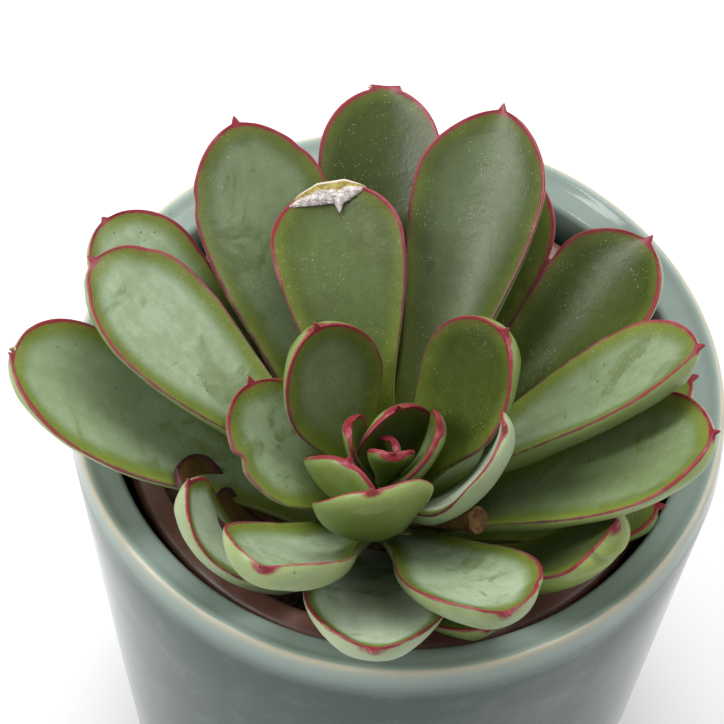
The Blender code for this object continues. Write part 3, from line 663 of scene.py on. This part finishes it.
def makeLeaf(name, spec, number, material, scale=1.0):
    path = leafPath(name + "_path", spec, number)
    piece = grown(path, leafSweep, {
        "Stations": leafForm["stations"] + 2, "Around": leafForm["around"], "Wander": leafForm["wander"] * scale,
        "Wander Scale": leafForm["wanderScale"], "Material": material}, name + "_skin")
    mesh = piece.data
    for label in ("bloom", "tone", "fresh", "lineUnder"):
        values = np.full(len(mesh.vertices), spec[label])
        mesh.attributes.new(label, "FLOAT", "POINT").data.foreach_set("value", values)
    return piece


def stand(piece, node, slot):  # the piece stands for the node, in the one body
    if node:
        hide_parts(node)
    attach(piece, "root")
    return piece


def fuse(pieces, name):
    with bpy.context.temp_override(active_object=pieces[0], selected_editable_objects=pieces, selected_objects=pieces):
        bpy.ops.object.join()
    pieces[0].name = name
    return pieces[0]


leafSkin = leafMaterial()
leaves = {
    "lower_leaf_1": leaf(97, -10, 39, -13, 80, 25, bend=-8, roll=-5, cup=26, dome=1.18, spine=0.4, bloom=0,
                         tone=0.05, blunt=2.8),
    "lower_leaf_2": leaf(69, -14, 37, -8, 72, 25, dome=1.18, bloom=0.08, tone=0.2, point=0.05),
    "lower_leaf_3": leaf(25, -13.5, 26, -4, 63, 21, bend=-10, dome=1.1, bloom=0.3, tone=0.9),
    "lower_leaf_4": leaf(-1, -17, 22, -4, 51, 18, roll=-3, bloom=0.3, tone=0.6),
    "lower_leaf_5": leaf(-31, -13, 13, 59, 54, 20, bend=31, roll=-20, cup=22, thick=6.4, wave=0.8, bloom=0.25,
                         tone=0.95, notches=((-1, 5.5, 2.0, 0.9),)),
    "lower_leaf_6": leaf(-58, -15.5, 33, -4, 38, 18, bend=6, thick=4.5, bloom=0.4, tone=0.5),
    "lower_leaf_7": leaf(266, -11, 37, -2, 49.5, 28, bend=9, roll=-6, cup=27, thick=5.5, wave=0.4, bloom=1.7,
                         tone=0.9),
    "lower_leaf_8": leaf(234, -12.5, 13, 72, 55.5, 18.5, bend=-97, roll=22, cup=16, dome=1.5,
                         thick=4.4, wave=0.4, bloom=1.5, tone=1, point=0.4),
    "lower_leaf_9": leaf(176, -14, 32, 8, 80, 29, bend=1, cup=18, dome=1.2, spine=0.8, wave=0.5, bloom=0.85,
                         tone=0.9, notches=((-1, 1.0, 1.6, 0.7),)),
    "lower_leaf_10": leaf(155, -11, 37, -2, 76, 25, bend=-17, roll=3, dome=1.05, spine=0.8, bloom=1.1,
                          tone=0.9),
    "middle_leaf_1": leaf(66, -2, 43, -7, 77, 28, bend=15, roll=-16, cup=28, dome=1.18, bloom=0.2, tone=0.12,
                          fresh=0.3, point=0.12),
    "middle_leaf_2": leaf(36, -8.5, 33, 5, 71, 26.5, bend=10, roll=-8, cup=27, dome=0.97, bloom=0.02,
                          tone=0.15, point=0.05),
    "middle_leaf_3": leaf(-9, -8.5, 35, 8, 70.5, 28, bend=11, roll=-7, cup=27, dome=1.12, bloom=0.5,
                          tone=0.7, notches=((-1, 1.2, 1.2, 0.6),)),
    "middle_leaf_4": leaf(-61, -5, 39, -4, 53, 27, bend=3, roll=-13, dome=1.17, thick=6, bloom=1.1, tone=0.5,
                          fresh=0.1, notches=((-1, 4.5, 1.0, 1.2), (1, 7.0, 0.6, 1.0))),
    "middle_leaf_5": leaf(239, -3.5, 37, 18, 56, 25, bend=6, roll=9, cup=40, dome=0.95, thick=5.5, bloom=1.15,
                          tone=0.8, fresh=0.1),
    "middle_leaf_6": leaf(163, -3.2, 36.6, -1, 72, 26.5, bend=-12, roll=5, cup=21, dome=1.28, bloom=1,
                          tone=0.6, fresh=0.1, notches=((1, 4.5, 0.6, 1.0), (-1, 8.0, 0.4, 2.0))),
    "middle_leaf_7": leaf(127, -6.5, 40, -3, 77.5, 28, bend=-15, dome=1.22, bloom=0.5, tone=0.3, fresh=0.1, notches=((1, 14.0, 0.5, 1.6), (-1, 9.0, 0.4, 1.2)), point=0.1),
    "upper_leaf_1": leaf(110, -1, 51, -22, 59, 27, bend=-9, roll=-15, cup=29, dome=0.82, spine=0.8, bloom=0.15,
                         tone=0.35, fresh=0.6),
    "upper_leaf_2": leaf(17, -3, 38, 4, 70, 25.5, bend=-14, roll=-19, cup=27, dome=1.22, bloom=0.75, tone=0.5,
                         fresh=0.1, point=0.14),
    "upper_leaf_3": leaf(27, 1, 65, 2, 47, 24.5, roll=5, cup=21, dome=1.2, bloom=0.02, tone=0.25, fresh=0.6),
    "upper_leaf_4": leaf(-38, 0, 46.6, 40.7, 44.6, 24, bend=60, roll=-24, cup=22, dome=1.65, thick=3.6, wave=0.7, waves=2.2, bloom=1.7,
                         tone=0.9, fresh=0.3),
    "upper_leaf_5": leaf(272, 0.5, 51, 29, 44, 23.6, bend=-24, roll=30, cup=29, dome=1.01, thick=4.0, wave=0.9, waves=2.5, bloom=0.22, tone=0.45,
                         fresh=0.5, point=0.1),
    "upper_leaf_6": leaf(189, 0.9, 36.5, 6, 35, 27, bend=-72, roll=7, cup=20, dome=1.2, thick=4.2, bloom=0.85,
                         tone=0.5, fresh=0.6, notches=((1, 11.2, 1.7, 1.1),)),
    "upper_leaf_7": leaf(144, 2, 63, 9, 40, 23, bend=-14, roll=-3, cup=16, dome=1.3, bloom=0.4, tone=0.3,
                         fresh=0.7),
}
tornSkin = tornMaterial()


def tornFlap(spec, tear):  # the lip of dried skin folded forward over a torn tip
    rows, columns = 15, 61
    run = np.linspace(0, 1, columns)
    along = np.interp(run, tear["run"], tear["outline"])
    across = np.interp(run, tear["run"], tear["across"])
    depth = np.interp(run, tear["run"], tear["depth"])
    depth = depth + tear["barb"] * np.exp(-np.abs((run - tear["barbAt"]) / 0.028) ** 1.2)
    inward = np.linspace(0, 1, rows)[:, None] * np.ones(columns)
    puff = np.sin(pi * np.clip(inward * 0.86 + 0.06, 0, 1)) * np.sin(pi * run) ** 0.5
    frill = 0.22 * np.sin(run * 61.0 + 3 * inward) * inward + 0.12 * np.sin(run * 137.0) * inward
    lift = tear["lift"] * puff + frill + 0.25
    down = along - depth * inward
    points = facePoint(spec, down.ravel(), (across * np.ones((rows, 1))).ravel(), lift.ravel())
    return sheet("torn_flap", points, rows, columns, 0.35, tornSkin, inward=inward)


def driedNib(spec, along, across, size):  # a little withered horn left beside a lost tip
    rows, columns = 7, 9
    turn, rise = np.meshgrid(np.linspace(0, 2 * pi, columns), np.linspace(0, 1, rows))
    radius = size * 0.45 * (1 - rise) ** 0.7
    lean = np.sign(across) * rise ** 2 * size * -0.5
    points = facePoint(spec, (along + rise * size).ravel(), (across + radius * np.cos(turn) + lean).ravel(),
                       (radius * np.sin(turn) - 0.3).ravel())
    return sheet("dried_nib", points, rows, columns, 0.05, tornSkin, inward=rise * 0.4)


tears = {
    "upper_leaf_1": lambda spec: [tornFlap(spec, {
        "run": [0, 0.12, 0.35, 0.7, 0.9, 1], "outline": [54.8, 56.9, 58.7, 58.9, 57.6, 56.9],
        "across": [9.4, 7.0, 3.2, -2.2, -5.2, -6.3], "depth": [0.1, 2.3, 4.2, 4.4, 1.6, 0.1],
        "lift": 1.1, "barb": 2.4, "barbAt": 0.6})],
    "lower_leaf_1": lambda spec: [driedNib(spec, 79.2, 3.0, 1.3), driedNib(spec, 79.0, -2.9, 1.0)],
    "lower_leaf_9": lambda spec: [driedNib(spec, 78.6, -1.2, 1.3)],
}
for number, (name, spec) in enumerate(leaves.items()):
    made = [makeLeaf(name, spec, number, leafSkin)]
    made += tears[name](spec) if name in tears else []
    stand(fuse(made, name + "_skin"), name, "leaf")
print("leaves made:", len(leaves))

heartLeaves = [
    leaf(69, 5, 69, 19, 20.5, 17.5, bend=3, roll=53, cup=12, dome=1.04, thick=2.6, root=-1.6, bloom=0.15, tone=0.2,
         fresh=0.4, lineUnder=0.5),
    leaf(-26, 4.5, 65.5, 11, 26.8, 17, bend=51, roll=-22, cup=16.4, dome=1.29, thick=2.8, root=-1.6, bloom=0.35,
         tone=0.3, fresh=0.5, lineUnder=0.6),
    leaf(229, 4, 31, 86, 27.5, 24.8, bend=16, roll=-4, cup=6, dome=1.65, thick=2.8, root=-1.6, bloom=0.2, tone=0.35,
         fresh=0.5, lineUnder=0.6),
    leaf(170, 5, 66, 14, 20, 9, dome=1.1, thick=2.2, spine=1.0, root=-1.6, bloom=0.2, tone=0.2, fresh=0.4, lineUnder=0.5),
    leaf(285, 6, 76, -5, 20.5, 9, bend=-6, roll=-7, cup=40, dome=0.9, thick=1.6, spine=0.9, root=-1.6, bloom=0.15,
         tone=0.2, fresh=0.4, lineUnder=0.5),
    leaf(40, 6.5, 82, 10, 13, 7, cup=40, dome=1.1, thick=1.6, spine=0.9, root=-1.6, bloom=0.15, tone=0.2, fresh=0.4, lineUnder=0.5),
]
buds = [makeLeaf("bud_%d" % number, spec, 40 + number, leafSkin, 0.4) for number, spec in enumerate(heartLeaves)]
stand(fuse(buds, "heart_skin"), "heart", "heart_leaf")
print("heart made")

dryLeaves = [
    leaf(204, -15, 20, 39, 43.5, 14.4, bend=-44.5, roll=14, cup=38, dome=0.98, thick=1.0, spine=0.4, wave=0.7, waves=2.2),
    leaf(210, -16, 19, 48, 36.5, 11.5, bend=-38, roll=10, cup=28, dome=1.0, thick=1.0, spine=0.4, wave=0.5, waves=2.0),
    leaf(204, -17.5, 4, 7, 37, 17, bend=-58, roll=-16, cup=27, dome=0.92, thick=1.2, spine=0.4, wave=0.6),
]
witheredLeaf = dryMaterial()
withered = [makeLeaf("dry_%d" % number, spec, 60 + number, witheredLeaf, 2.0) for number, spec in enumerate(dryLeaves)]
stand(fuse(withered, "dry_leaves_skin"), "dry_leaves", "dry_leaf")
print("dry leaves made")


def arc(centre, radius, start, end, steps):
    angles = np.radians(np.linspace(start, end, steps + 1))
    return [(centre[0] + radius * cos(a), centre[1] + radius * sin(a)) for a in angles]


def smoothRun(points, perSpan):  # rounds an open run of points without leaving them
    points = [np.array(point, float) for point in points]
    points = [2 * points[0] - points[1], *points, 2 * points[-1] - points[-2]]
    run = []
    for a, b, c, d in zip(points, points[1:], points[2:], points[3:]):
        for share in np.linspace(0, 1, perSpan, endpoint=False):
            run.append(tuple(0.5 * (2 * b + (c - a) * share + (2 * a - 5 * b + 4 * c - d) * share ** 2
                                    + (3 * b - a - 3 * c + d) * share ** 3)))
    return run + [tuple(points[-2])]


def turned(name, profile, sides, material, wander=0.0, wanderScale=30.0):
    run = runOfPoints(name + "_profile", [(radius * mm, 0.0, level * mm) for radius, level in profile])
    return grown(run, turnedSkin, {"Points": len(profile), "Sides": sides, "Wander": wander,
                                   "Wander Scale": wanderScale, "Material": material}, name)


coverPot = {
    "height": 120.0, "radius": 66.0, "shoulderDrop": 7.4, "taper": 0.098, "wall": 7.5, "floor": 9.0,
    "mouth": 57.9, "mouthDrop": 2.4, "lipRound": 2.0, "lipSetBack": 1.0, "footRound": 2.5, "sides": 192,
    "rim": [(60.4, -2.35), (62.5, -1.1), (63.8, -0.25), (64.8, 0.0), (65.4, -0.5), (65.75, -2.6), (66.0, -7.4)],
}


def makeCoverPot(pot, material):
    shoulder = pot["height"] - pot["shoulderDrop"]
    mouth = pot["height"] - pot["mouthDrop"]

    def outer(level):
        return pot["radius"] - pot["taper"] * (shoulder - level)

    foot = outer(0.0)
    innerTop = shoulder - pot["wall"]
    innerFoot = outer(pot["floor"]) - pot["wall"]
    corner = pot["footRound"]
    profile = [(0.0, pot["floor"]), (innerFoot - pot["wall"], pot["floor"])]
    profile += arc((innerFoot - corner, pot["floor"] + corner), corner, -90, 0, 6)
    profile += [(outer(innerTop) - pot["wall"] - pot["lipSetBack"], innerTop)]
    profile += arc((pot["mouth"] + pot["lipRound"], mouth - pot["lipRound"]), pot["lipRound"], 180, 110, 8)
    rim = [(radius, pot["height"] + level) for radius, level in pot["rim"]]
    profile += smoothRun(rim, 6)[4:]
    profile += [(outer(level), level) for level in (90.0, 60.0, 30.0)]
    profile += arc((foot - corner, corner), corner, 0, -90, 6)
    profile += [(foot - 4 * corner, 0.0), (0.0, 0.0)]
    return turned("cover_pot_glaze", profile, pot["sides"], material, 0.3 * mm, 18.0)


celadon = glazeMaterial({"crest": 65.1 * mm, "top": 120.0 * mm})
stand(makeCoverPot(coverPot, celadon), "cover_pot", "glaze")

nurseryPot = {  # (radius, height) round its closed section, in mm
    "sides": 128,
    "profile": [(0.0, 10.5), (36.6, 10.5), (49.3, 101.4), (49.8, 110.2)],
    "rim": [(50.1, 110.9), (50.9, 111.3), (53.4, 111.2), (54.6, 110.9), (55.2, 110.3), (55.3, 109.4)],
    "outer": [(55.3, 104.5), (54.7, 103.9), (54.1, 104.4), (54.0, 108.6), (52.0, 109.0), (51.2, 108.0)],
    "foot": [(50.6, 101.4), (38.0, 9.4), (0.0, 9.4)],
}


def makeNurseryPot(pot, material):
    profile = pot["profile"] + smoothRun(pot["rim"], 4) + pot["outer"] + pot["foot"]
    return turned("nursery_pot_wall", profile, pot["sides"], material, 0.5 * mm, 24.0)


stand(makeNurseryPot(nurseryPot, plasticMaterial()), "nursery_pot", "nursery_plastic")

soilForm = {"finer": 3, "lump": 1.6 * mm, "lumpScale": 210.0, "density": 160000.0, "grain": 1.3 * mm, "seed": 5}


def soilTree():  # roughens the soil's own surface and strews crumbs over the top of it
    tree, given = newTree("crumbledSoil", [("Soil", "Geometry"), ("Finer", "Int"), ("Lump", "Float"),
                                           ("Lump Scale", "Float"), ("Density", "Float"), ("Grain", "Float"),
                                           ("Seed", "Int"), ("Material", "Material")])
    fine = addNode(tree, "GeometryNodeSubdivideMesh", None, {"Mesh": given["Soil"], "Level": given["Finer"]})
    here = Wire(tree, addNode(tree, "GeometryNodeInputPosition").outputs[0])
    normal = Wire(tree, addNode(tree, "GeometryNodeInputNormal").outputs[0])
    top = normal.part("Z").step(0.3, 0.8)
    lump = (here.noise(given["Lump Scale"], 3.0, 0.6) - 0.62) * given["Lump"] * top
    ground = addNode(tree, "GeometryNodeSetPosition", None,
                     {"Geometry": fine.outputs[0], "Offset": normal.vector("SCALE", scale=lump)})
    crumbs = addNode(tree, "GeometryNodeDistributePointsOnFaces", None,
                     {"Mesh": ground.outputs[0], "Density": given["Density"], "Seed": given["Seed"],
                      "Selection": normal.part("Z").calc("GREATER_THAN", 0.6)})
    crumb = addNode(tree, "GeometryNodeMeshIcoSphere", None, {"Radius": 1.0, "Subdivisions": 1})
    size = addNode(tree, "FunctionNodeRandomValue", {"data_type": "FLOAT_VECTOR"},
                   {"Min": (0.2, 0.2, 0.12), "Max": (0.8, 0.55, 0.4), "Seed": given["Seed"]})
    turn = addNode(tree, "FunctionNodeRandomValue", {"data_type": "FLOAT_VECTOR"},
                   {"Min": (0.0, 0.0, 0.0), "Max": (6.3, 6.3, 6.3), "Seed": given["Seed"] + 1.0})
    big = Wire(tree, size.outputs["Value"]).vector("SCALE", scale=given["Grain"])
    strewn = addNode(tree, "GeometryNodeInstanceOnPoints", None,
                     {"Points": crumbs.outputs["Points"], "Instance": crumb.outputs["Mesh"],
                      "Rotation": turn.outputs["Value"], "Scale": big})
    both = tree.nodes.new("GeometryNodeJoinGeometry")
    tree.links.new(strewn.outputs[0], both.inputs[0])
    tree.links.new(ground.outputs[0], both.inputs[0])
    closeTree(tree, both.outputs[0], given["Material"])
    return tree


def makeSoil(form, material):
    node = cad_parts["soil"]
    ground = node.data.copy()
    ground.transform(node.matrix_world)
    source = bpy.data.objects.new("soil_ground", ground)
    bpy.context.scene.collection.objects.link(source)
    return grown(source, soilTree(), {
        "Finer": form["finer"], "Lump": form["lump"], "Lump Scale": form["lumpScale"], "Density": form["density"],
        "Grain": form["grain"], "Seed": form["seed"], "Material": material}, "soil_crumbs")


earth = earthMaterial("pottingSoil", (0.014, 0.009, 0.006), (0.085, 0.052, 0.030), 320.0)
stand(makeSoil(soilForm, earth), "soil", "soil")
bark = barkMaterial("stemBark", (0.09, 0.06, 0.03), (0.22, 0.16, 0.08), 4.0)
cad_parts["stem"].data.materials.clear()
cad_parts["stem"].data.materials.append(bark)

stubForm = {
    "azimuth": -25.0, "level": -6.0, "rise": 38.0, "length": 18.6, "around": 36, "wander": 1.1 * mm,
    "along": [0.0, 0.0, 0.1, 0.35, 0.6, 0.8, 0.9, 0.96, 0.99, 1.0, 0.99, 0.965, 0.95, 0.95],
    "radii": [0.0, 1.5, 1.55, 1.4, 1.6, 2.0, 2.4, 2.7, 2.75, 2.45, 2.0, 1.5, 0.8, 0.0],
}


def stalkTree():  # a stalk of changing radius along its path
    tree, given = newTree("cutStalk", [("Path", "Geometry"), ("Stations", "Int"), ("Around", "Int"),
                                       ("Wander", "Float"), ("Wander Scale", "Float"), ("Material", "Material")])
    grid, row, share = gridOver(tree, given["Stations"], given["Around"] + 1.0)
    turn = share * (2 * pi)
    radius = sampled(tree, given["Path"], row, "radius")
    side = sampled(tree, given["Path"], row, "side", "FLOAT_VECTOR")
    up = sampled(tree, given["Path"], row, "up", "FLOAT_VECTOR")
    place = sampled(tree, given["Path"], row)
    place = place.vector("ADD", side.vector("SCALE", scale=radius * turn.calc("COSINE")))
    place = place.vector("ADD", up.vector("SCALE", scale=radius * turn.calc("SINE")))
    skin = closeSkin(tree, grid, place, given["Wander"], given["Wander Scale"])
    closeTree(tree, skin, given["Material"])
    return tree


def makeStub(form, material):
    x, y, reach = stemAxis(form["level"])
    turn, slope = radians(form["azimuth"]), radians(form["rise"])
    ahead = np.array([cos(slope) * cos(turn), cos(slope) * sin(turn), sin(slope)])
    side = np.array([-sin(turn), cos(turn), 0.0])
    start = np.array([x + reach * cos(turn), y + reach * sin(turn), stemForm["rim"] + form["level"]])
    run = runOfPoints("stub_path", [(start + ahead * form["length"] * share) * mm for share in form["along"]],
                      radius=np.array(form["radii"]) * mm, side=np.tile(side, (len(form["radii"]), 1)),
                      up=np.tile(np.cross(ahead, side), (len(form["radii"]), 1)))
    return grown(run, stalkTree(), {
        "Stations": len(form["radii"]), "Around": form["around"], "Wander": form["wander"], "Wander Scale": 420.0,
        "Material": material}, "flower_stub_bark")


straw = barkMaterial("stubStraw", (0.075, 0.034, 0.014), (0.300, 0.165, 0.060), 0.6)
stand(makeStub(stubForm, straw), "flower_stub", "flower_stub")
print("pots, soil and stem finished")


# Stage: a pale floor, soft light and the photograph's camera.
camera = {
    "eye": (-7.617, -390.887, 700.713), "target": (-7.617, 3.783, 122.582), "roll": 3.565, "lens": 173.9,
}


def placeCamera(view):
    eye = Vector(view["eye"]) * mm
    back = (eye - Vector(view["target"]) * mm).normalized()
    right = Vector((1, 0, 0))
    up = back.cross(right)
    roll = radians(view["roll"])
    axisX = right * cos(roll) + up * sin(roll)
    axisY = up * cos(roll) - right * sin(roll)
    data = bpy.data.cameras.new("camera")
    data.sensor_width = 36.0
    data.lens = view["lens"]
    data.clip_end = 10.0
    item = bpy.data.objects.new("camera", data)
    pose = Matrix((axisX, axisY, back)).transposed().to_4x4()
    pose.translation = eye
    item.matrix_world = pose
    bpy.context.scene.collection.objects.link(item)
    bpy.context.scene.camera = item


def addLight(name, place, aim, size, watts, tint=(1.0, 1.0, 1.0)):
    data = bpy.data.lights.new(name, "AREA")
    data.shape = "RECTANGLE"
    data.size, data.size_y = size
    data.energy = watts
    data.color = tint
    item = bpy.data.objects.new(name, data)
    item.location = place
    item.rotation_euler = (Vector(aim) - Vector(place)).to_track_quat("-Z", "Y").to_euler()
    bpy.context.scene.collection.objects.link(item)


def makeFloor():
    mesh = bpy.data.meshes.new("floor")
    half = 3.0
    corners = [(-half, -half, 0.0), (half, -half, 0.0), (half, half, 0.0), (-half, half, 0.0)]
    mesh.from_pydata(corners, [], [(0, 1, 2, 3)])
    material, tree, shader, place = newMaterial("paleFloor", {
        "Roughness": 0.9, "Specular IOR Level": 0.1})
    tone = mixColour(tree, place.noise(6.0, 2.0), (0.80, 0.80, 0.80), (0.82, 0.82, 0.82))
    tree.links.new(tone.socket, shader.inputs["Base Color"])
    mesh.materials.append(material)
    item = bpy.data.objects.new("floor", mesh)
    bpy.context.scene.collection.objects.link(item)
    item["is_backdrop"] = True


def makeWorld(strength):
    world = bpy.data.worlds.new("studio")
    world.use_nodes = True
    background = world.node_tree.nodes["Background"]
    background.inputs["Color"].default_value = (1.0, 1.0, 1.0, 1.0)
    background.inputs["Strength"].default_value = strength
    bpy.context.scene.world = world


makeFloor()
makeWorld(0.40)
placeCamera(camera)
addLight("topSoftbox", (0.0, 0.45, 1.10), (0.0, 0.0, 0.12), (0.9, 0.7), 12.0)
addLight("leftSoftbox", (-0.75, -0.20, 0.80), (0.0, 0.0, 0.12), (0.14, 0.8), 7.5)
addLight("rightSoftbox", (0.80, 0.20, 0.75), (0.0, 0.0, 0.12), (0.3, 0.8), 3.5)
addLight("frontSoftbox", (-0.10, -0.80, 0.95), (0.0, 0.0, 0.12), (1.2, 0.8), 1.2)
bpy.context.scene.view_settings.view_transform = "Standard"
print("stage set")

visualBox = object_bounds()
